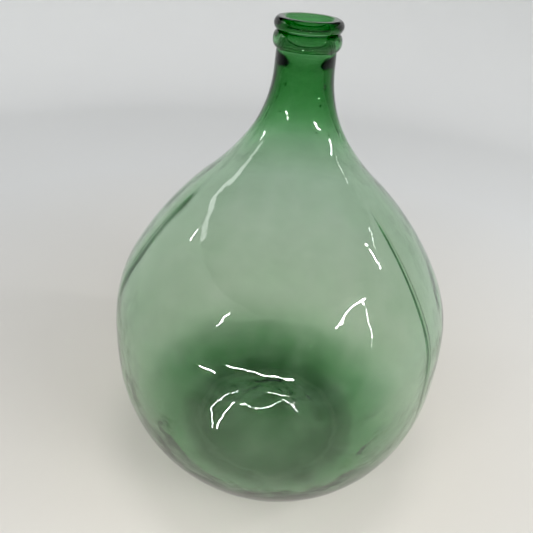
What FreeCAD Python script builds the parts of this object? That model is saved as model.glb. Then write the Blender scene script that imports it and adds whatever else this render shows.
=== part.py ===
import FreeCAD, Part
import math
import os
from types import SimpleNamespace

import Sketcher
from FreeCAD import Vector

# Hand-blown glass carboy, the 54-litre demijohn size. It is blown as one bubble of glass: an onion-shaped
# belly, a flared shoulder, a slim neck and a pushed-up base. The mouth is then finished with two more
# gathers of hot glass: a short lip laid on the end of the neck, and a ring wound round their joint.
#
# Frame: +Z up, origin on the axis of the vessel, on the plane it stands on. Millimetres and degrees.
# Slopes are angles between the wall and the vertical.

DIMENSIONS = {
    # belly
    "belly_diameter": 460.0,
    "widest_height": 201.0,
    "waist_radius": 510.0,
    "waist_slope_below": 3.7,
    "waist_slope_above": 6.2,
    "lower_belly_radius": 240.0,
    "belly_wall": 3.0,
    # shoulder and neck
    "shoulder_radius": 165.0,
    "shoulder_slope": 29.7,
    "cone_radius": 450.0,
    "cone_slope": 49.0,
    "flare_radius": 320.0,
    "flare_slope": 36.2,
    "neck_slope": 2.5,
    "neck_diameter": 66.0,
    "throat_diameter": 45.0,
    "throat_height": 571.0,
    "plug_height": 576.0,
    # base
    "heel_radius": 68.0,
    "inner_heel_radius": 46.0,
    "foot_width": 8.0,
    "punt_edge_radius": 12.0,
    "punt_slope": 42.0,
    "base_wall": 10.0,
    # mouth
    "mouth_diameter": 50.0,
    "overall_height": 622.0,
    "seat_height": 591.0,
    "joint_height": 595.0,
    "groove_height": 608.5,
    "lip_diameter": 76.0,
    "ring_diameter": 76.0,
    "lip_top_round": 6.0,
    "lip_under_round": 4.5,
    "mouth_round": 3.0,
    "ring_top_round": 4.5,
    "ring_foot_round": 4.8,
}


def make_sheet(doc):
    """Put the driving dimensions in a spreadsheet, each with its own alias."""
    sheet = doc.addObject("Spreadsheet::Sheet", "Sizes")
    for row, (alias, value) in enumerate(DIMENSIONS.items(), start=1):
        sheet.set(f"A{row}", alias)
        sheet.set(f"B{row}", str(value))
        sheet.setAlias(f"B{row}", alias)
    doc.recompute()
    return sheet


def at(radius, height):
    """A point of an outline, in the upright half plane on the +X side of the axis."""
    return Vector(radius, height, 0)


def polar(centre, radius, angle):
    """The point of a circle at an angle above the horizontal."""
    return centre + at(radius * math.cos(math.radians(angle)), radius * math.sin(math.radians(angle)))


def angle_of(centre, point):
    """The angle above the horizontal at which a point is seen from a centre."""
    return math.degrees(math.atan2(point.y - centre.y, point.x - centre.x))


def crossing(centre_a, radius_a, centre_b, radius_b):
    """The crossing of two circles that lies on the outer side of the line from centre_a to centre_b."""
    span = centre_b - centre_a
    along = (span.Length ** 2 + radius_a ** 2 - radius_b ** 2) / (2 * span.Length)
    aside = math.sqrt(radius_a ** 2 - along ** 2)
    ahead = span / span.Length
    return centre_a + ahead * along + at(abs(ahead.y), -ahead.x * math.copysign(1, ahead.y)) * aside


class Outline:
    """A closed outline in a sketch, drawn edge by edge, with its sizes bound to the spreadsheet."""

    def __init__(self, body, name):
        self.sketch = body.newObject("Sketcher::SketchObject", name)
        plane = [part for part in body.Origin.OriginFeatures if part.Role == "XZ_Plane"][0]
        self.sketch.AttachmentSupport = [(plane, "")]
        self.sketch.MapMode = "FlatFace"
        self.edges = []

    def line(self, start, end):
        """A straight edge. Its vertex 1 is where it starts, and its vertex 2 where it ends."""
        edge = self.sketch.addGeometry(Part.LineSegment(start, end))
        self.edges.append((edge, 1, 2))
        return edge

    def arc(self, centre, radius, first, last):
        """A round edge, from one angle to another. Its vertex 3 is its centre."""
        circle = Part.Circle(centre, Vector(0, 0, 1), radius)
        low, high = sorted((math.radians(first), math.radians(last)))
        edge = self.sketch.addGeometry(Part.ArcOfCircle(circle, low, high))
        self.edges.append((edge, 1, 2) if last > first else (edge, 2, 1))
        return edge

    def hold(self, kind, *where):
        """A constraint without a size."""
        self.sketch.addConstraint(Sketcher.Constraint(kind, *where))

    def size(self, expression, kind, *where):
        """A constraint whose size follows an expression of the spreadsheet's cells."""
        number = self.sketch.addConstraint(Sketcher.Constraint(kind, *where))
        self.sketch.setExpression(f"Constraints[{number}]", expression)

    def close(self, corners):
        """Join every edge to the next one, smoothly unless the edge ends at a corner."""
        following = self.edges[1:] + self.edges[:1]
        for (edge, _, end), (after, start, _) in zip(self.edges, following):
            self.hold("Coincident" if edge in corners else "Tangent", edge, end, after, start)


def new_body(doc, label):
    body = doc.addObject("PartDesign::Body", label)
    body.Label = label
    body.Placement = FreeCAD.Placement()
    return body


def revolve(body, outline, name):
    """Turn an outline once round the axis of the vessel."""
    turn = body.newObject("PartDesign::Revolution", name)
    turn.Profile = outline.sketch
    turn.ReferenceAxis = (outline.sketch, ["V_Axis"])
    turn.Angle = 360
    body.Document.recompute()
    return turn


def round_rims(body, base, size, rims):
    """Round circular rims. Each rim names the cells of its diameter, its height and its rounding."""
    for diameter, height, rounding in rims:
        names = [
            f"Edge{index}"
            for index, edge in enumerate(base.Shape.Edges, start=1)
            if isinstance(edge.Curve, Part.Circle)
            and math.isclose(edge.Curve.Radius, getattr(size, diameter) / 2, abs_tol=0.01)
            and math.isclose(edge.Curve.Center.z, getattr(size, height), abs_tol=0.01)
        ]
        fillet = body.newObject("PartDesign::Fillet", f"Tool_{rounding}")
        fillet.Base = (base, names)
        fillet.setExpression("Radius", f"Sizes.{rounding}")
        body.Document.recompute()
        base = fillet


def bend_into_neck(size, start, neck_foot):
    """The centre and radius of the bend from the flare into a straight neck that ends at a given point."""
    flare, neck = math.radians(size.flare_slope), math.radians(size.neck_slope)
    gap = neck_foot.x - start.x + math.tan(neck) * (neck_foot.y - start.y)
    reach = math.cos(flare) - math.cos(neck) + math.tan(neck) * (math.sin(flare) - math.sin(neck))
    radius = gap / reach
    return polar(start, radius, size.flare_slope), radius


def bend_through(size, start, end):
    """The centre and radius of the bend that leaves the flare smoothly and goes through a given point."""
    towards_centre = polar(at(0, 0), 1, size.flare_slope)
    chord = end - start
    radius = chord.Length ** 2 / (2 * chord.dot(towards_centre))
    return polar(start, radius, size.flare_slope), radius


def skin_centres(size):
    """The centres of the arcs that make the belly and the shoulder, each arc tangent to the next."""
    waist = at(size.belly_diameter / 2 - size.waist_radius, size.widest_height)
    lower = polar(waist, size.waist_radius - size.lower_belly_radius, -size.waist_slope_below)
    shoulder = polar(waist, size.waist_radius - size.shoulder_radius, size.waist_slope_above)
    cone = polar(shoulder, size.shoulder_radius - size.cone_radius, size.shoulder_slope)
    flare = polar(cone, size.cone_radius + size.flare_radius, size.cone_slope)
    return SimpleNamespace(waist=waist, lower=lower, shoulder=shoulder, cone=cone, flare=flare)


def skin_arcs(size, centres, depth, foot_angle):
    """The arcs of the wall from the heel up to the flare, at a depth under the outer surface."""
    return [
        (centres.lower, size.lower_belly_radius - depth, foot_angle, -size.waist_slope_below),
        (centres.waist, size.waist_radius - depth, -size.waist_slope_below, size.waist_slope_above),
        (centres.shoulder, size.shoulder_radius - depth, size.waist_slope_above, size.shoulder_slope),
        (centres.cone, size.cone_radius - depth, size.shoulder_slope, size.cone_slope),
        (centres.flare, size.flare_radius + depth, 180 + size.cone_slope, 180 + size.flare_slope),
    ]


def blown_vessel(doc, size):
    """The blown bubble of glass: belly, shoulder, neck and pushed-up base, one skin of varying thickness."""
    body = new_body(doc, "blown_vessel")
    outline = Outline(body, "WallSection")
    centres = skin_centres(size)
    neck_radius = size.neck_diameter / 2
    mouth_radius = size.mouth_diameter / 2
    plug_taper = math.tan(math.radians(size.neck_slope))
    plug_radius = mouth_radius + plug_taper * (size.joint_height - size.plug_height)

    # heel and underside
    reach = size.lower_belly_radius - size.heel_radius
    heel_height = centres.lower.y - size.heel_radius
    heel_centre = at(centres.lower.x + math.sqrt(reach ** 2 - heel_height ** 2), size.heel_radius)
    heel_angle = angle_of(centres.lower, heel_centre)
    foot_edge = heel_centre.x - size.foot_width
    edge_centre = at(foot_edge, size.punt_edge_radius)
    punt_rim = polar(edge_centre, size.punt_edge_radius, -90 - size.punt_slope)
    dome_radius = punt_rim.x / math.sin(math.radians(size.punt_slope))
    dome_centre = polar(punt_rim, -dome_radius, 90 - size.punt_slope)

    # inside of the heel, between the belly and the dome of the base
    inner_belly_radius = size.lower_belly_radius - size.belly_wall
    inner_dome_radius = dome_radius + size.base_wall
    groove_centre = crossing(
        dome_centre, inner_dome_radius + size.inner_heel_radius,
        centres.lower, inner_belly_radius - size.inner_heel_radius)
    groove_belly_angle = angle_of(centres.lower, groove_centre)
    groove_dome_angle = angle_of(groove_centre, dome_centre)

    # neck, outside and inside
    neck_foot = at(neck_radius, size.seat_height)
    flare_end = polar(centres.flare, size.flare_radius, 180 + size.flare_slope)
    bend_centre, bend_radius = bend_into_neck(size, flare_end, neck_foot)
    plug_foot = at(plug_radius, size.plug_height)
    throat = at(size.throat_diameter / 2, size.throat_height)
    inner_flare_end = polar(centres.flare, size.flare_radius + size.belly_wall, 180 + size.flare_slope)
    throat_centre, throat_bend_radius = bend_through(size, inner_flare_end, throat)

    # the outline, up the outside and down the inside
    heel = outline.arc(heel_centre, size.heel_radius, -90, heel_angle)
    lower, waist, shoulder, cone, flare = [
        outline.arc(*arc) for arc in skin_arcs(size, centres, 0, heel_angle)]
    bend = outline.arc(bend_centre, bend_radius, 180 + size.flare_slope, 180 + size.neck_slope)
    neck = outline.line(polar(bend_centre, bend_radius, 180 + size.neck_slope), neck_foot)
    seat = outline.line(neck_foot, at(neck_radius, size.joint_height))
    joint = outline.line(at(neck_radius, size.joint_height), at(mouth_radius, size.joint_height))
    plug = outline.line(at(mouth_radius, size.joint_height), plug_foot)
    ledge = outline.line(plug_foot, throat)
    outline.arc(throat_centre, throat_bend_radius, angle_of(throat_centre, throat) + 360,
                180 + size.flare_slope)
    inner_flare, inner_cone, inner_shoulder, inner_waist, inner_lower = [
        outline.arc(centre, radius, last, first)
        for centre, radius, first, last in skin_arcs(
            size, centres, size.belly_wall, groove_belly_angle)[::-1]]
    groove = outline.arc(groove_centre, size.inner_heel_radius, groove_belly_angle, groove_dome_angle)
    dome_top = dome_centre + at(0, dome_radius)
    inner_dome = outline.arc(dome_centre, inner_dome_radius, groove_dome_angle + 180, 90)
    axis = outline.line(dome_top + at(0, size.base_wall), dome_top)
    dome = outline.arc(dome_centre, dome_radius, 90, 90 - size.punt_slope)
    edge = outline.arc(edge_centre, size.punt_edge_radius, -90 - size.punt_slope, -90)
    foot = outline.line(at(foot_edge, 0), at(heel_centre.x, 0))
    outline.close(corners=(neck, seat, joint, plug, ledge, inner_dome, axis))

    # sizes of the outside
    outline.size("Sizes.waist_radius", "Radius", waist, size.waist_radius)
    outline.size("Sizes.lower_belly_radius", "Radius", lower, size.lower_belly_radius)
    outline.size("Sizes.shoulder_radius", "Radius", shoulder, size.shoulder_radius)
    outline.size("Sizes.cone_radius", "Radius", cone, size.cone_radius)
    outline.size("Sizes.flare_radius", "Radius", flare, size.flare_radius)
    outline.size("Sizes.heel_radius", "Radius", heel, size.heel_radius)
    outline.size("Sizes.waist_radius - Sizes.belly_diameter / 2", "DistanceX", waist, 3, -1, 1,
                 size.waist_radius - size.belly_diameter / 2)
    outline.size("Sizes.widest_height", "DistanceY", -1, 1, waist, 3, size.widest_height)
    outline.size("Sizes.waist_radius * sin(Sizes.waist_slope_below * 1 deg)", "DistanceY",
                 waist, 1, waist, 3, size.waist_radius * math.sin(math.radians(size.waist_slope_below)))
    for arc, more, less in (
        (waist, "waist_slope_above", None),
        (shoulder, "shoulder_slope", "waist_slope_above"),
        (cone, "cone_slope", "shoulder_slope"),
        (flare, "cone_slope", "flare_slope"),
        (bend, "flare_slope", "neck_slope"),
        (inner_flare, "cone_slope", "flare_slope"),
    ):
        if less is None:
            span = size.waist_slope_above + size.waist_slope_below
            formula = "(Sizes.waist_slope_above + Sizes.waist_slope_below) * 1 deg"
        else:
            span = getattr(size, more) - getattr(size, less)
            formula = f"(Sizes.{more} - Sizes.{less}) * 1 deg"
        outline.size(formula, "Angle", arc, math.radians(span))

    # neck and joint
    outline.size("Sizes.neck_diameter / 2", "DistanceX", -1, 1, seat, 1, neck_radius)
    outline.size("Sizes.seat_height", "DistanceY", -1, 1, seat, 1, size.seat_height)
    outline.size("Sizes.joint_height", "DistanceY", -1, 1, seat, 2, size.joint_height)
    outline.hold("Vertical", seat)
    outline.hold("Horizontal", joint)
    outline.size("Sizes.mouth_diameter / 2", "DistanceX", -1, 1, joint, 2, mouth_radius)

    # inside
    outline.hold("Parallel", neck, plug)
    outline.size("Sizes.plug_height", "DistanceY", -1, 1, ledge, 1, size.plug_height)
    outline.size("Sizes.throat_height", "DistanceY", -1, 1, ledge, 2, size.throat_height)
    outline.size("Sizes.throat_diameter / 2", "DistanceX", -1, 1, ledge, 2, size.throat_diameter / 2)
    for arc, twin in ((inner_flare, flare), (inner_cone, cone), (inner_shoulder, shoulder),
                      (inner_waist, waist), (inner_lower, lower), (inner_dome, dome)):
        outline.hold("Coincident", arc, 3, twin, 3)
    outline.size("Sizes.waist_radius - Sizes.belly_wall", "Radius", inner_waist,
                 size.waist_radius - size.belly_wall)
    outline.size("Sizes.inner_heel_radius", "Radius", groove, size.inner_heel_radius)

    # underside
    outline.hold("PointOnObject", foot, 1, -1)
    outline.hold("PointOnObject", foot, 2, -1)
    outline.size("Sizes.foot_width", "DistanceX", foot, 1, foot, 2, size.foot_width)
    outline.size("Sizes.punt_edge_radius", "Radius", edge, size.punt_edge_radius)
    outline.size("Sizes.punt_slope * 1 deg", "Angle", edge, math.radians(size.punt_slope))
    outline.hold("PointOnObject", dome, 3, -2)
    outline.hold("PointOnObject", axis, 1, -2)
    outline.hold("PointOnObject", axis, 2, -2)
    outline.size("Sizes.base_wall", "DistanceY", axis, 2, axis, 1, size.base_wall)

    revolve(body, outline, "Blow")
    return body


def stepped_section(body, name, size, corners):
    """A closed outline of level and upright edges. Each corner names the cells of its diameter and height."""
    outline = Outline(body, name)
    places = [at(getattr(size, diameter) / 2, getattr(size, height)) for diameter, height in corners]
    edges = [outline.line(start, end) for start, end in zip(places, places[1:] + places[:1])]
    outline.close(corners=edges)
    sized = set()
    for edge, (diameter, height), place, following in zip(edges, corners, places, places[1:] + places[:1]):
        outline.hold("Horizontal" if place.y == following.y else "Vertical", edge)
        if diameter not in sized:
            outline.size(f"Sizes.{diameter} / 2", "DistanceX", -1, 1, edge, 1, place.x)
        if height not in sized:
            outline.size(f"Sizes.{height}", "DistanceY", -1, 1, edge, 1, place.y)
        sized.update((diameter, height))
    return outline


def applied_lip(doc, size):
    """The lip: a short sleeve of glass on the end of the neck, its rim tooled outwards round the mouth."""
    body = new_body(doc, "applied_lip")
    outline = stepped_section(body, "LipSection", size, [
        ("mouth_diameter", "joint_height"),
        ("neck_diameter", "joint_height"),
        ("neck_diameter", "groove_height"),
        ("lip_diameter", "groove_height"),
        ("lip_diameter", "overall_height"),
        ("mouth_diameter", "overall_height"),
    ])
    round_rims(body, revolve(body, outline, "Lay"), size, [
        ("lip_diameter", "overall_height", "lip_top_round"),
        ("lip_diameter", "groove_height", "lip_under_round"),
        ("mouth_diameter", "overall_height", "mouth_round"),
    ])
    return body


def string_ring(doc, size):
    """The ring: a trail of glass wound round the joint, which the string of a tied-down cork catches under."""
    body = new_body(doc, "string_ring")
    outline = stepped_section(body, "RingSection", size, [
        ("neck_diameter", "seat_height"),
        ("ring_diameter", "seat_height"),
        ("ring_diameter", "groove_height"),
        ("neck_diameter", "groove_height"),
    ])
    round_rims(body, revolve(body, outline, "Wind"), size, [
        ("ring_diameter", "groove_height", "ring_top_round"),
        ("ring_diameter", "seat_height", "ring_foot_round"),
    ])
    return body


def check(doc, bodies):
    """Stop if any object failed, or if a piece isn't one sound solid."""
    for item in doc.Objects:
        if "Invalid" in item.State or "Error" in item.State:
            raise RuntimeError(f"{item.Name} failed: {item.State}")
    for body in bodies:
        shape = body.Shape
        if shape.isNull() or not shape.isValid() or len(shape.Solids) != 1:
            raise RuntimeError(f"{body.Label} isn't one sound solid")


def main():
    doc = FreeCAD.newDocument("carboy")
    sheet = make_sheet(doc)
    size = SimpleNamespace(**{alias: float(sheet.get(alias)) for alias in DIMENSIONS})
    bodies = [blown_vessel(doc, size), applied_lip(doc, size), string_ring(doc, size)]
    doc.recompute()
    check(doc, bodies)
    os.makedirs("parts", exist_ok=True)
    for body in bodies:
        body.Shape.exportStep(f"parts/{body.Label}.step")


main()
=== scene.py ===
import math
import random

import bpy
from mathutils import Matrix, Vector, noise


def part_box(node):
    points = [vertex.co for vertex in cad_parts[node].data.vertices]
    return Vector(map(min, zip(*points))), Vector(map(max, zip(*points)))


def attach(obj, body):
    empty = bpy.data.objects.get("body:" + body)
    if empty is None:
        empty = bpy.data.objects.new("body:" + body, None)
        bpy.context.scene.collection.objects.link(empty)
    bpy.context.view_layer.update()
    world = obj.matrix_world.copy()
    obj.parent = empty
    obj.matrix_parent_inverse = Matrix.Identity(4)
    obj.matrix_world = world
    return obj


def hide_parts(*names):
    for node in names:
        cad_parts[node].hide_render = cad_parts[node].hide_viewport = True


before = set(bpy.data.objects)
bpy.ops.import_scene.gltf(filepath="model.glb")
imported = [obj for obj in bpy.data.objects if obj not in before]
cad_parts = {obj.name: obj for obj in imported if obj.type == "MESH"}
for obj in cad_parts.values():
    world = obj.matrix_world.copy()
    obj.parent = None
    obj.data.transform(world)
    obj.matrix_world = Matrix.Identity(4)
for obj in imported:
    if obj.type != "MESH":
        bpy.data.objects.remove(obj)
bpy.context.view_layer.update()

BELLY_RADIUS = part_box("blown_vessel")[1][0]
TOP_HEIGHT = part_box("applied_lip")[1][2]
JOINT_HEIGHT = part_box("applied_lip")[0][2]
SEAT_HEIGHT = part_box("string_ring")[0][2]
GROOVE_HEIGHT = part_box("string_ring")[1][2]
RIM_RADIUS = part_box("applied_lip")[1][0]
TRAIL_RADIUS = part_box("string_ring")[1][0]

# Lengths are in metres and angles in degrees. Outlines are points of (distance from the axis, height).
SEGMENTS = 216
STEP = 0.0045
FINE_STEP = 0.001
AXIS_RADIUS = 1e-6

# The wall's outside, from the foot ring up: arcs that bulge or hollow, with their radius and end slope.
FOOT_RADIUS = 0.11682
OUTSIDE_ARCS = (
    ("bulge", 0.068, -42.2),
    ("bulge", 0.240, -3.7),
    ("bulge", 0.510, 6.2),
    ("bulge", 0.165, 29.7),
    ("bulge", 0.450, 49.0),
    ("hollow", 0.320, 36.2),
    ("hollow", 0.148, 2.5),
)
NECK_RADIUS = 0.033
MOUTH_RADIUS = 0.025

# The base: its foot ring, its push-up, and the heel inside, where the floor is lowest.
FOOT_WIDTH = 0.008
PUNT_HEIGHT = 0.0418
BASE_WALL = 0.0095
HEEL_RADIUS = 0.104
HEEL_TOP = 0.012
HEEL_REACH = 0.8
HEEL_STEPS = 8

# The glass is thin where the belly was blown out, and thick in the neck and the heel.
BELLY_WALL = 0.0015
NECK_WALL = 0.0104
NECK_THICKENS = (0.465, 0.565)
HEEL_WALL = 0.0120
HEEL_THINS = 0.150

# The throat, and above it the seat for a cork.
THROAT_HEIGHT = 0.571
THROAT_RADIUS = 0.0224
PLUG_HEIGHT = 0.588
SEAT_RADIUS = 0.0268
SEAT_TOP = 0.589

# The lip and the string ring sink this far into the glass that they were laid on.
OVERLAP = 0.0003
LIP_ROUND = 0.0060
LIP_START = -72
MOUTH_ROUND = 0.0035

# The blower's hand: how far the wall is oval and lobed, and waves of (depth, place in the noise, length).
# The depth of WALL_WAVE is a share of the wall's thickness.
OVAL_DEPTH = 0.0010
OVAL_TURN = 0.7
LOBE_DEPTH = 0.0006
LOBE_TURN = 2.0
SHRINK = 0.0018
SWELL = (0.0007, 3.1, 0.13)
OUTSIDE_WAVE = (0.00022, 7.7, 0.035)
BELLY_WAVE = (0.00016, 23.0, 0.017)
WALL_WAVE = (0.12, 11.3, 0.09)
INSIDE_WAVE = (0.00022, 19.9, 0.035)
UNDER_WAVES = ((0.0022, 9.0, 0.040), (0.0006, 13.0, 0.015))
FLOOR_WAVES = ((0.0042, 5.0, 0.034), (0.0011, 17.0, 0.014))
EDGE_WANDER = (0.0035, 41.0, 0.11)

# The heights over which the hand work fades: at the foot, at the neck's end, and in the base.
FOOT_FADE = 0.04
NECK_TRUE = 0.585
NECK_FADE = 0.03
BELLY_WAVE_TOP = 0.42
BELLY_WAVE_FADE = 0.12
UNDER_FADE = 0.014
FLOOR_TOP = 0.070
FLOOR_FADE = 0.030

# The tool's marks on the lip and the string ring.
TOOL_DEPTH = 0.00035
TOOL_LIFT = 0.00030

# The long bubbles in the wall: round angle, lowest and highest point, width and depth.
BLISTERS = (
    (-35.5, 0.195, 0.415, 0.0020, 0.0018),
    (-165.0, 0.305, 0.412, 0.0056, 0.0020),
)
BLISTER_CURVE = 1.0

# The fold of thicker glass beside each long bubble.
FOLD_SHARE = 0.9
FOLD_SPREAD = 1.7
FOLD_REACH = 3.0
FOLD_STEPS = 7
FOLD_OVERRUN = 0.03
FOLD_FADE = 0.04

# The small bubbles: how many, the heights they lie at, and their radius as a share of the wall.
SEED_COUNT = 70
SEED_DRAW = 11
SEED_LOW = 0.035
SEED_RANGE = 0.525
SEED_SMALL = 0.16
SEED_SPREAD = 0.14
SEED_FLAT = 0.7

GLASS_IOR = 1.52
GLASS_TINT = (0.031, 0.575, 0.094, 1)
GLASS_DENSITY = 160
GLASS_MIRROR = (0.7, 0.7, 0.7, 1)
WAVE_LENGTH = 0.028
WAVE_DEPTH = 0.00050
RIPPLE_LENGTH = 0.009
RIPPLE_DEPTH = 0.00006
CORD_LENGTH = 0.004
CORD_DEPTH = 0.00006
CORD_STRETCH = (0.06, 0.06, 1.0)
FILM_LENGTH = 0.05
FILM_ROUGHNESS = 0.02
FILM_CLEAN = (0.965, 0.97, 0.965, 1)
FILM_DUSTY = (0.90, 0.915, 0.90, 1)


def placed(name, data):
    """An object with this data, put in the scene."""
    obj = bpy.data.objects.new(name, data)
    bpy.context.scene.collection.objects.link(obj)
    return obj


def smooth(x):
    """A soft rise from 0 to 1."""
    x = min(1.0, max(0.0, x))
    return x * x * (3 - 2 * x)


def wall_at(z):
    """How thick the wall is at a height."""
    start, end = NECK_THICKENS
    neck = (NECK_WALL - BELLY_WALL) * smooth((z - start) / (end - start))
    heel = (HEEL_WALL - BELLY_WALL) * max(0.0, 1 - z / HEEL_THINS) ** 3
    return BELLY_WALL + neck + heel


def arc(centre, radius, first, last, step=STEP):
    """Points after the first along an arc, from one angle to another."""
    count = max(3, math.ceil(abs(math.radians(last - first)) * radius / step))
    angles = [math.radians(first + (last - first) * i / count) for i in range(1, count + 1)]
    return [(centre[0] + radius * math.cos(a), centre[1] + radius * math.sin(a)) for a in angles]


def straight(start, end, step=STEP):
    """Points after the start along a straight line."""
    count = max(1, math.ceil(math.dist(start, end) / step))
    return [tuple(s + (e - s) * i / count for s, e in zip(start, end)) for i in range(1, count + 1)]


def outside_wall():
    """The vessel's outside from the foot ring to the neck's end."""
    points = [(FOOT_RADIUS, 0.0)]
    slope = -90.0
    for side, radius, end_slope in OUTSIDE_ARCS:
        turn = 0 if side == "bulge" else 180
        angle = math.radians(slope + turn)
        centre = (points[-1][0] - radius * math.cos(angle), points[-1][1] - radius * math.sin(angle))
        points += arc(centre, radius, slope + turn, end_slope + turn)
        slope = end_slope
    points += straight(points[-1], (NECK_RADIUS, SEAT_HEIGHT))
    points += straight(points[-1], (NECK_RADIUS, JOINT_HEIGHT))
    return points


def normals(points):
    """The direction out of each point of an outline that runs upward outside the glass."""
    found = []
    for i in range(len(points)):
        before = points[max(0, i - 1)]
        after = points[min(len(points) - 1, i + 1)]
        along = Vector((after[0] - before[0], after[1] - before[1])).normalized()
        found.append((along.y, -along.x))
    return found


def cork_seat():
    """The vessel's inside from the neck's end down to the throat."""
    top = (MOUTH_RADIUS, JOINT_HEIGHT)
    points = [top] + straight(top, (SEAT_RADIUS, SEAT_TOP), FINE_STEP)
    drop = PLUG_HEIGHT - THROAT_HEIGHT
    for i in range(round(drop / FINE_STEP)):
        z = PLUG_HEIGHT - FINE_STEP * i
        spread = smooth((z - THROAT_HEIGHT) / drop)
        points.append((THROAT_RADIUS + (SEAT_RADIUS - THROAT_RADIUS) * spread, z))
    return points


def inside_wall(outside):
    """The vessel's inside from the neck's end down to the heel."""
    inner = []
    for (r, z), (nr, nz) in zip(outside, normals(outside)):
        if HEEL_TOP <= z < THROAT_HEIGHT:
            wall = wall_at(z)
            inner.append((r - nr * wall, z - nz * wall))
    inner.reverse()
    return cork_seat() + inner


def bell(height, edge_radius, edge_height):
    """A push-up that starts and ends level, from the axis out to its edge."""
    count = math.ceil(edge_radius / STEP)
    rise = (height - edge_height) / 2
    radii = [edge_radius * i / count for i in range(1, count + 1)]
    return [(r, edge_height + rise * (1 + math.cos(math.pi * r / edge_radius))) for r in radii]


def heel_curve(start, end):
    """The inside of the heel, from the wall round to where the floor is lowest."""
    low = (start[0] - HEEL_REACH * (start[1] - end[1]), end[1])
    points = []
    for i in range(1, HEEL_STEPS + 1):
        t = i / HEEL_STEPS
        points.append(tuple(
            (1 - t) ** 2 * s + 2 * t * (1 - t) * m + t ** 2 * e for s, m, e in zip(start, low, end)))
    return points


def vessel_outline():
    """The whole section of the vessel, from the underside's middle round to the inside's middle."""
    outside = outside_wall()
    under = bell(PUNT_HEIGHT, FOOT_RADIUS - FOOT_WIDTH, 0.0)
    under += straight(under[-1], outside[0])[:-1]
    inside = inside_wall(outside)
    inside += heel_curve(inside[-1], (HEEL_RADIUS, BASE_WALL))
    over = bell(PUNT_HEIGHT + BASE_WALL, HEEL_RADIUS, BASE_WALL)
    over.reverse()
    inside += over[1:]
    return under, outside, inside


def turns():
    """The angles round the axis where outlines stand, closer together at the folds."""
    angles = [2 * math.pi * s / SEGMENTS for s in range(SEGMENTS)]
    close = math.radians(FOLD_REACH)
    folds = [math.radians(facts[0]) % (2 * math.pi) for facts in BLISTERS]
    angles = [a for a in angles if all(abs(a - place) > close for place in folds)]
    for place in folds:
        angles += [place + close * step / FOLD_STEPS for step in range(-FOLD_STEPS, FOLD_STEPS + 1)]
    return sorted(angles)


def turned_points(loop, move, angles):
    """The loop's points at every angle, each moved by hand work, and the rows that they lie in."""
    verts = []
    rows = []
    for index, (r, z) in enumerate(loop):
        if r < AXIS_RADIUS:
            rows.append([len(verts)] * len(angles))
            verts.append((0.0, 0.0, z))
            continue
        row = []
        for angle in angles:
            dr, dz = move(index, r, z, angle)
            row.append(len(verts))
            verts.append(((r + dr) * math.cos(angle), (r + dr) * math.sin(angle), z + dz))
        rows.append(row)
    return verts, rows


def turned_faces(pairs):
    """The faces between pairs of rows. A row on the axis is one point, so its faces are triangles."""
    faces = []
    for low, high in pairs:
        for s in range(len(low)):
            t = (s + 1) % len(low)
            corners = [low[s], low[t], high[t], high[s]]
            unique = [c for i, c in enumerate(corners) if c not in corners[:i]]
            if len(unique) > 2:
                faces.append(unique)
    return faces


def revolve(name, loop, move, bubbles=()):
    """A closed piece: the loop of (radius, height) turned round the axis, with bubbles shut inside."""
    verts, rows = turned_points(loop, move, turns())
    pairs = list(zip(rows, rows[1:]))
    if loop[0][0] > AXIS_RADIUS:
        pairs.append((rows[-1], rows[0]))
    faces = turned_faces(pairs)
    for points, bubble_faces in bubbles:
        first = len(verts)
        verts += points
        faces += [[first + corner for corner in face] for face in bubble_faces]
    mesh = bpy.data.meshes.new(name)
    mesh.from_pydata(verts, [], faces)
    mesh.polygons.foreach_set("use_smooth", [True] * len(mesh.polygons))
    mesh.validate()
    mesh.update()
    return placed(name, mesh)


def wave(angle, z, place, length):
    """Smooth unevenness in the wall, from -1 to 1, whose humps are about as long as length."""
    around = BELLY_RADIUS / length
    x = around * math.cos(angle) + place
    y = around * math.sin(angle)
    return noise.noise(Vector((x, y, z / length + place)))


def waved(facts, angle, z, share=1):
    """A wave of (depth, place in the noise, length), at a share of its depth."""
    depth, place, length = facts
    return depth * share * wave(angle, z, place, length)


def uneven(waves, x, y):
    """Smooth unevenness of the base, from waves of (depth, place in the noise, length)."""
    total = 0.0
    for depth, place, length in waves:
        total += depth * noise.noise(Vector((x / length, y / length, place)))
    return total


def fold(r, z, angle):
    """How much thicker the wall is beside a long bubble."""
    total = 0.0
    for place, low, high, width, depth in BLISTERS:
        turn = math.remainder(angle - math.radians(place), 2 * math.pi)
        near = math.exp(-(turn * r / (FOLD_SPREAD * width)) ** 2)
        start = smooth((z - low + FOLD_OVERRUN) / FOLD_FADE)
        end = smooth((high + FOLD_OVERRUN - z) / FOLD_FADE)
        total += FOLD_SHARE * depth * near * (start * end)
    return total


def wall_shift(r, z, angle, outside):
    """How far from the axis the blower's hand moved a point of the wall."""
    size = r / BELLY_RADIUS
    fade = smooth(z / FOOT_FADE) * smooth((NECK_TRUE - z) / NECK_FADE)
    oval = OVAL_DEPTH * size * math.cos(2 * angle + OVAL_TURN)
    lobes = LOBE_DEPTH * size * math.cos(3 * angle + LOBE_TURN)
    shared = oval + lobes + waved(SWELL, angle, z, size) - SHRINK * size
    if outside:
        own = waved(OUTSIDE_WAVE, angle, z) * (0.4 + 0.6 * size)
        own += waved(BELLY_WAVE, angle, z) * smooth((BELLY_WAVE_TOP - z) / BELLY_WAVE_FADE)
    else:
        own = waved(WALL_WAVE, angle, z, wall_at(z)) + waved(INSIDE_WAVE, angle, z)
        own -= fold(r, z, angle)
    return (shared + own) * fade


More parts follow.
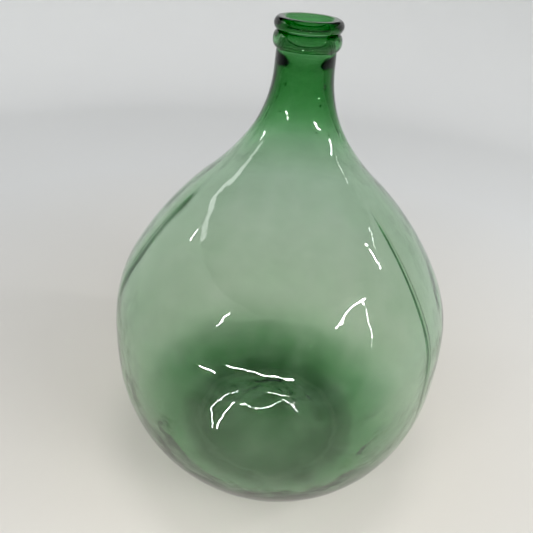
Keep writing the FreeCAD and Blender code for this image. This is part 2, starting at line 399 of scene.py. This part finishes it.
def hand_blown(count_under, count_outside):
    """How far the blower's hand leaves each point of the vessel from the true shape."""
    def move(index, r, z, angle):
        x, y = r * math.cos(angle), r * math.sin(angle)
        if index < count_under:
            wander = waved(EDGE_WANDER, angle, 0.0) * smooth(z / 0.006) * smooth((0.018 - z) / 0.012)
            return wander, uneven(UNDER_WAVES, x, y) * smooth(z / UNDER_FADE)
        if index < count_under + count_outside:
            return wall_shift(r, z, angle, True), 0.0
        lift = uneven(FLOOR_WAVES, x, y) * smooth((FLOOR_TOP - z) / FLOOR_FADE)
        return wall_shift(r, z, angle, False), lift
    return move


def mid_wall(outside, z, angle):
    """The distance from the axis of the middle of the glass, at a height and round angle."""
    at = next(k for k in range(1, len(outside)) if outside[k][1] >= z)
    (r0, z0), (r1, z1) = outside[at - 1], outside[at]
    r = r0 + (r1 - r0) * (z - z0) / (z1 - z0)
    lean = math.hypot(r1 - r0, z1 - z0) / (z1 - z0)
    both = (wall_shift(r, z, angle, True) + wall_shift(r, z, angle, False)) / 2
    return r - wall_at(z) * lean / 2 + both


def bubble_ring(points, sides, centre, angle, half_depth, half_width):
    """Adds a level ring of points round a centre of (radius, height), and gives their places."""
    r, z = centre
    ring = []
    for s in range(sides):
        a = 2 * math.pi * s / sides
        out = r + half_depth * math.cos(a)
        side = half_width * math.sin(a)
        ring.append(len(points))
        points.append((out * math.cos(angle) - side * math.sin(angle),
                       out * math.sin(angle) + side * math.cos(angle), z))
    return ring


def blister(outside, angle, low, high, width, depth, steps=60, sides=10):
    """A long thin bubble drawn out along the wall: its points and faces."""
    points = []
    rings = []
    for i in range(steps + 1):
        t = i / steps
        z = low + (high - low) * t
        turned = angle + math.radians(BLISTER_CURVE) * math.sin(2.6 * t)
        size = math.sin(math.pi * min(0.98, max(0.02, t))) ** 0.5
        centre = (mid_wall(outside, z, turned), z)
        rings.append(bubble_ring(points, sides, centre, turned, depth / 2 * size, width / 2 * size))
    return points, hollow_skin(rings)


def hollow_skin(rings):
    """The faces of a closed hollow whose rings run upward, facing into it."""
    faces = [rings[0], rings[-1][::-1]]
    for low_ring, high_ring in zip(rings, rings[1:]):
        for s in range(len(low_ring)):
            t = (s + 1) % len(low_ring)
            faces.append([low_ring[s], high_ring[s], high_ring[t], low_ring[t]])
    return faces


def seed(outside, angle, z, radius, sides=8, rows=5):
    """One small bubble caught in the glass, a little flattened by the wall."""
    r = mid_wall(outside, z, angle)
    points = []
    rings = []
    for row in range(rows + 1):
        tilt = math.radians(-80 + 160 * row / rows)
        centre = (r, z + radius * math.sin(tilt))
        half_depth = SEED_FLAT * radius * math.cos(tilt)
        rings.append(bubble_ring(points, sides, centre, angle, half_depth, radius * math.cos(tilt)))
    return points, hollow_skin(rings)


def vessel():
    """The blown bubble, from the pushed-up base to the neck's end."""
    under, outside, inside = vessel_outline()
    loop = [(0.0, PUNT_HEIGHT)] + under + outside + inside
    loop[-1] = (0.0, PUNT_HEIGHT + BASE_WALL)
    return revolve("vessel_glass", loop, hand_blown(1 + len(under), len(outside)), hollows(outside))


def hollows(outside):
    """Every bubble in the vessel's glass."""
    found = [blister(outside, math.radians(angle), *facts) for angle, *facts in BLISTERS]
    draw = random.Random(SEED_DRAW)
    for _ in range(SEED_COUNT):
        z = SEED_LOW + SEED_RANGE * draw.random()
        angle = 2 * math.pi * draw.random()
        radius = wall_at(z) * (SEED_SMALL + SEED_SPREAD * draw.random())
        found.append(seed(outside, angle, z, radius))
    return found


def half_round(root, low, high, reach, start=-90, end=90, steps=14):
    """Part of an ellipse that stands out from a root radius, between two heights."""
    middle, half = (low + high) / 2, (high - low) / 2
    angles = [math.radians(start + (end - start) * i / steps) for i in range(steps + 1)]
    return [(root + reach * math.cos(a), middle + half * math.sin(a)) for a in angles]


def lip():
    """The lip: a sleeve of hot glass on the neck's end, its rim tooled outward and rounded over."""
    outer = NECK_RADIUS - OVERLAP
    crest = RIM_RADIUS - LIP_ROUND
    loop = [(MOUTH_RADIUS + OVERLAP, JOINT_HEIGHT - OVERLAP), (outer - OVERLAP, JOINT_HEIGHT - OVERLAP)]
    loop += straight(loop[-1], (outer, GROOVE_HEIGHT - 0.0010), 0.002)
    loop += half_round(crest, GROOVE_HEIGHT, TOP_HEIGHT, LIP_ROUND, start=LIP_START)
    inner = MOUTH_RADIUS + MOUTH_ROUND
    loop += straight(loop[-1], (inner, TOP_HEIGHT - 0.0002), FINE_STEP)
    loop += arc((inner, TOP_HEIGHT - MOUTH_ROUND), MOUTH_ROUND, 88, 180, 0.0006)
    loop += straight(loop[-1], (MOUTH_RADIUS, JOINT_HEIGHT + 0.0005), 0.002)
    return revolve("lip_glass", loop, tooled(1.0))


def trail():
    """The string ring: a trail of glass wound once round the joint."""
    inner = NECK_RADIUS - OVERLAP
    loop = half_round(NECK_RADIUS, SEAT_HEIGHT, GROOVE_HEIGHT, TRAIL_RADIUS - NECK_RADIUS)
    loop += [(inner, GROOVE_HEIGHT)] + straight((inner, GROOVE_HEIGHT), (inner, SEAT_HEIGHT), 0.002)
    return revolve("trail_glass", loop, tooled(2.0))


def tooled(piece_place):
    """The tool's slight unevenness round the lip and the string ring, none of it where they join."""
    def move(index, r, z, angle):
        out = smooth((r - NECK_RADIUS) / 0.004)
        dr = -TOOL_DEPTH * out * (1 + wave(angle, z, 31.0 + piece_place, 0.06))
        lift = TOOL_LIFT * out * wave(angle, 0.0, 47.0 + piece_place, 0.09)
        dz = lift * smooth((TOP_HEIGHT - z) / 0.006)
        return dr, dz
    return move


def glass(name):
    """Green glass, tinted by its depth, with waves, fine cords that are strongest in the base, and dust."""
    mat = bpy.data.materials.new(name)
    mat.use_nodes = True
    nt = mat.node_tree
    bsdf = nt.nodes["Principled BSDF"]
    out = nt.nodes["Material Output"]
    bsdf.inputs["IOR"].default_value = GLASS_IOR
    bsdf.inputs["Transmission Weight"].default_value = 1.0
    bsdf.inputs["Specular Tint"].default_value = GLASS_MIRROR
    absorb = nt.nodes.new("ShaderNodeVolumeAbsorption")
    absorb.inputs["Color"].default_value = GLASS_TINT
    absorb.inputs["Density"].default_value = GLASS_DENSITY
    nt.links.new(absorb.outputs["Volume"], out.inputs["Volume"])

    place = nt.nodes.new("ShaderNodeTexCoord").outputs["Object"]
    waves = noise_node(nt, place, 1 / WAVE_LENGTH, 2)
    ripples = noise_node(nt, place, 1 / RIPPLE_LENGTH, 2)
    flat = nt.nodes.new("ShaderNodeMapping")
    flat.inputs["Scale"].default_value = CORD_STRETCH
    nt.links.new(place, flat.inputs["Vector"])
    cords = noise_node(nt, flat.outputs["Vector"], 1 / CORD_LENGTH, 3)
    cord_height = multiply(nt, cords, base_mask(nt, place))
    normal = None
    for height, depth in ((waves, WAVE_DEPTH), (ripples, RIPPLE_DEPTH), (cord_height, CORD_DEPTH)):
        bump = nt.nodes.new("ShaderNodeBump")
        bump.inputs["Distance"].default_value = depth
        nt.links.new(height, bump.inputs["Height"])
        if normal is not None:
            nt.links.new(normal, bump.inputs["Normal"])
        normal = bump.outputs["Normal"]
    nt.links.new(normal, bsdf.inputs["Normal"])

    film = noise_node(nt, place, 1 / FILM_LENGTH, 4)
    nt.links.new(ramp(nt, film, ((0.40, 0.0), (0.75, FILM_ROUGHNESS))), bsdf.inputs["Roughness"])
    shade = nt.nodes.new("ShaderNodeValToRGB")
    shade.color_ramp.elements[0].position = 0.35
    shade.color_ramp.elements[0].color = FILM_CLEAN
    shade.color_ramp.elements[1].position = 0.80
    shade.color_ramp.elements[1].color = FILM_DUSTY
    nt.links.new(film, shade.inputs["Fac"])
    nt.links.new(shade.outputs["Color"], bsdf.inputs["Base Color"])
    return mat


def noise_node(nt, place, scale, detail):
    """Noise with this many humps to a metre."""
    node = nt.nodes.new("ShaderNodeTexNoise")
    node.inputs["Scale"].default_value = scale
    node.inputs["Detail"].default_value = detail
    nt.links.new(place, node.inputs["Vector"])
    return node.outputs["Fac"]


def multiply(nt, first, second):
    """The product of two values."""
    node = nt.nodes.new("ShaderNodeMath")
    node.operation = "MULTIPLY"
    nt.links.new(first, node.inputs[0])
    nt.links.new(second, node.inputs[1])
    return node.outputs["Value"]


def ramp(nt, value, ends):
    """A straight rise or fall of a value between two points."""
    node = nt.nodes.new("ShaderNodeMapRange")
    (low, low_out), (high, high_out) = ends
    node.inputs["From Min"].default_value = low
    node.inputs["From Max"].default_value = high
    node.inputs["To Min"].default_value = low_out
    node.inputs["To Max"].default_value = high_out
    nt.links.new(value, node.inputs["Value"])
    return node.outputs["Result"]


def base_mask(nt, place):
    """1 in the base, where the glass was worked on the rod, falling to 0.15 at the belly's middle."""
    split = nt.nodes.new("ShaderNodeSeparateXYZ")
    nt.links.new(place, split.inputs["Vector"])
    return ramp(nt, split.outputs["Z"], ((0.11, 1.0), (0.20, 0.15)))


COVE_RADIUS = 2.2
COVE_BEND = 0.5
COVE_TOP = 1.6
COVE_SIDES = 96


def stage():
    """A floor that bends up all round into a pale wall, as in a photographer's cove."""
    profile = [(0.6, 0.0), (1.1, 0.0), (COVE_RADIUS - COVE_BEND, 0.0)]
    profile += arc((COVE_RADIUS - COVE_BEND, COVE_BEND), COVE_BEND, -90, 0, 0.05)
    profile += [(COVE_RADIUS, COVE_TOP)]
    corners = []
    for r, z in profile:
        for s in range(COVE_SIDES):
            angle = 2 * math.pi * s / COVE_SIDES
            corners.append((r * math.cos(angle), r * math.sin(angle), z))
    rows = [[row * COVE_SIDES + s for s in range(COVE_SIDES)] for row in range(len(profile))]
    faces = [rows[0]]
    for low, high in zip(rows, rows[1:]):
        for s in range(COVE_SIDES):
            t = (s + 1) % COVE_SIDES
            faces.append([low[t], low[s], high[s], high[t]])
    mesh = bpy.data.meshes.new("cove")
    mesh.from_pydata(corners, [], faces)
    mesh.polygons.foreach_set("use_smooth", [True] * len(mesh.polygons))
    cove = placed("cove", mesh)
    cove.data.materials.append(cove_paint())


def cove_paint():
    """Warm pale paint on the floor that turns to a cooler white up the wall."""
    mat = bpy.data.materials.new("cove_paint")
    mat.use_nodes = True
    nt = mat.node_tree
    bsdf = nt.nodes["Principled BSDF"]
    bsdf.inputs["Roughness"].default_value = 0.7
    bsdf.inputs["Specular IOR Level"].default_value = 0.2
    place = nt.nodes.new("ShaderNodeTexCoord").outputs["Object"]
    reach = nt.nodes.new("ShaderNodeVectorMath")
    reach.operation = "LENGTH"
    nt.links.new(place, reach.inputs[0])
    share = ramp(nt, reach.outputs["Value"], ((0.30, 0.0), (1.1, 1.0)))
    paint = nt.nodes.new("ShaderNodeValToRGB")
    paint.color_ramp.elements[0].color = (0.60, 0.575, 0.53, 1)
    paint.color_ramp.elements[1].color = (0.66, 0.667, 0.665, 1)
    nt.links.new(share, paint.inputs["Fac"])
    nt.links.new(paint.outputs["Color"], bsdf.inputs["Base Color"])
    return mat


SKY_DIRECTION = (0.50, -0.20, 0.85)
SKY_LOW = 0.08
SKY_HIGH = 0.30
SKY_COLOUR = (0.97, 0.985, 1.0, 1)

# The tubes that the glass mirrors: two ends, width and radiance.
TUBES = {
    "window_side": ((1.25, -1.55, 1.20), (1.55, -1.15, 1.30), 0.020, 180),
    "window_head": ((1.55, -1.15, 1.30), (1.75, -0.85, 1.25), 0.020, 180),
    "window_stile": ((1.75, -0.95, 1.15), (1.80, -1.15, 0.70), 0.014, 110),
    "right_tube": ((1.75, -0.10, 1.55), (1.90, -0.10, 1.20), 0.028, 180),
    "right_edge": ((1.75, 0.35, 1.45), (1.85, 0.10, 1.35), 0.015, 30),
    "left_curtain": ((-1.70, 0.85, 1.50), (-1.80, -0.10, 1.45), 0.12, 6),
    "left_tube": ((-1.85, 0.25, 1.35), (-1.90, 0.15, 1.20), 0.028, 140),
    "front_tube": ((-1.15, -1.55, 1.30), (-1.40, -1.50, 1.05), 0.024, 140),
    "ceiling_tube": ((-0.35, -0.10, 2.60), (0.35, -0.05, 2.60), 0.04, 120),
    "near_tube_left": ((-0.40, -0.51, 0.26), (-0.33, -0.56, 0.24), 0.0060, 190),
    "near_tube": ((-0.28, -0.59, 0.33), (0.09, -0.66, 0.33), 0.0060, 190),
}

# Bent tubes close in front, below the camera: the corners of each, its width and radiance.
LOW_LAMPS = {
    "low_arch_left": (
        ((-0.18, -0.35, 0.04), (-0.19, -0.37, 0.10), (-0.17, -0.41, 0.17), (-0.13, -0.44, 0.21)),
        0.0022, 80),
    "low_arch_right": (
        ((-0.03, -0.46, 0.24), (0.05, -0.46, 0.22), (0.07, -0.45, 0.18)),
        0.0022, 100),
    "low_sill": (
        ((-0.16, -0.36, 0.05), (-0.16, -0.38, 0.09), (-0.14, -0.42, 0.15), (-0.10, -0.43, 0.16),
         (-0.04, -0.44, 0.15), (0.03, -0.46, 0.20), (0.08, -0.43, 0.15)),
        0.0025, 130),
}

FILL_PLACE = (2.0, -1.0, 1.7)
FILL_SIZE = 1.8
FILL_POWER = 32
EVEN_PLACE = (0.4, -2.0, 2.6)
EVEN_POWER = 0.55
EVEN_ANGLE = 20
FILL_TARGET = (0, 0.1, 0.1)
CENTRE = Vector((0.0, 0.0, 0.35))


def tube(name, start, end, width, radiance):
    """A long soft lamp between two points, facing the bottle, and not seen through it."""
    start, end = Vector(start), Vector(end)
    lamp = bpy.data.lights.new(name, "AREA")
    lamp.shape = "RECTANGLE"
    lamp.size = (end - start).length
    lamp.size_y = width
    lamp.energy = radiance * math.pi * lamp.size * lamp.size_y
    obj = placed(name, lamp)
    middle = (start + end) / 2
    along = (end - start).normalized()
    back = (middle - CENTRE).normalized()
    back = (back - along * back.dot(along)).normalized()
    across = back.cross(along)
    obj.matrix_world = Matrix.Translation(middle) @ Matrix((along, across, back)).transposed().to_4x4()
    obj.visible_camera = False
    obj.visible_transmission = False
    return obj


def sky():
    """A soft dome, brightest overhead to the right and dim low down on the left, as in a studio tent."""
    world = bpy.data.worlds.new("studio")
    bpy.context.scene.world = world
    world.use_nodes = True
    nt = world.node_tree
    coords = nt.nodes.new("ShaderNodeTexCoord")
    towards = nt.nodes.new("ShaderNodeVectorMath")
    towards.operation = "DOT_PRODUCT"
    towards.inputs[1].default_value = Vector(SKY_DIRECTION).normalized()
    nt.links.new(coords.outputs["Generated"], towards.inputs[0])
    level = ramp(nt, towards.outputs["Value"], ((-0.2, SKY_LOW), (1.0, SKY_HIGH)))
    level.node.interpolation_type = "SMOOTHSTEP"
    background = nt.nodes["Background"]
    background.inputs["Color"].default_value = SKY_COLOUR
    nt.links.new(level, background.inputs["Strength"])


def fill():
    """A big soft lamp up on the right and an even light from the front."""
    soft = bpy.data.lights.new("fill", "AREA")
    soft.shape = "SQUARE"
    soft.size = FILL_SIZE
    soft.energy = FILL_POWER
    shadowless(soft, FILL_PLACE)
    even = bpy.data.lights.new("even_light", "SUN")
    even.energy = EVEN_POWER
    even.angle = math.radians(EVEN_ANGLE)
    shadowless(even, EVEN_PLACE)


def shadowless(lamp, place):
    """A lamp that casts no shadow, as clear glass hardly does, and that the glass doesn't mirror."""
    lamp.use_shadow = False
    lamp.cycles.cast_shadow = False
    obj = placed(lamp.name, lamp)
    obj.location = place
    obj.rotation_euler = (Vector(FILL_TARGET) - Vector(place)).to_track_quat("-Z", "Y").to_euler()
    obj.visible_camera = False
    obj.visible_glossy = False
    obj.visible_transmission = False


def lights():
    """The dome, the two fills and every tube."""
    sky()
    fill()
    for name, facts in TUBES.items():
        tube(name, *facts)
    for name, (corners, width, radiance) in LOW_LAMPS.items():
        for count, (start, end) in enumerate(zip(corners, corners[1:])):
            tube(f"{name}_{count}", start, end, width, radiance).visible_diffuse = False


CAMERA_PITCH = 33.0
CAMERA_ROLL = 4.85
CAMERA_AZIMUTH = 2.17
CAMERA_DISTANCE = 2.6816 * BELLY_RADIUS
CAMERA_HEIGHT = 3.066 * BELLY_RADIUS
CAMERA_LENS = 36
CAMERA_SENSOR = 36
BLACK_LEVEL = 0.016


def camera():
    """The camera, in front of the bottle and looking down at it."""
    pitch, roll, azimuth = (math.radians(a) for a in (CAMERA_PITCH, CAMERA_ROLL, CAMERA_AZIMUTH))
    forward = Vector((0, math.cos(pitch), -math.sin(pitch)))
    level_up = Vector((0, math.sin(pitch), math.cos(pitch)))
    level_right = Vector((1, 0, 0))
    right = math.cos(roll) * level_right + math.sin(roll) * level_up
    up = -math.sin(roll) * level_right + math.cos(roll) * level_up
    data = bpy.data.cameras.new("camera")
    data.lens = CAMERA_LENS
    data.sensor_width = CAMERA_SENSOR
    obj = placed("camera", data)
    place = (-CAMERA_DISTANCE * math.sin(azimuth), -CAMERA_DISTANCE * math.cos(azimuth), CAMERA_HEIGHT)
    obj.matrix_world = Matrix.Translation(place) @ Matrix((right, up, -forward)).transposed().to_4x4()
    bpy.context.scene.camera = obj


def pieces():
    """The three pieces of glass, each in the place of its node."""
    vessel_glass = glass("vessel_glass")
    finish_glass = glass("finish_glass")
    made = ((vessel(), "blown_vessel", "green_glass", vessel_glass),
            (lip(), "applied_lip", "mouth_glass", finish_glass),
            (trail(), "string_ring", "mouth_glass", finish_glass))
    for piece, node, slot, material in made:
        piece.data.materials.append(material)
        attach(piece, "root")
        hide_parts(node)


camera()
stage()
lights()
pieces()
view = bpy.context.scene.view_settings
view.view_transform = "Standard"
view.use_curve_mapping = True
view.curve_mapping.black_level = (BLACK_LEVEL, BLACK_LEVEL, BLACK_LEVEL)
view.curve_mapping.update()
bpy.context.scene.cycles.max_bounces = 32
bpy.context.scene.cycles.transmission_bounces = 32
bpy.context.scene.cycles.glossy_bounces = 16
bpy.context.scene.cycles.diffuse_bounces = 6
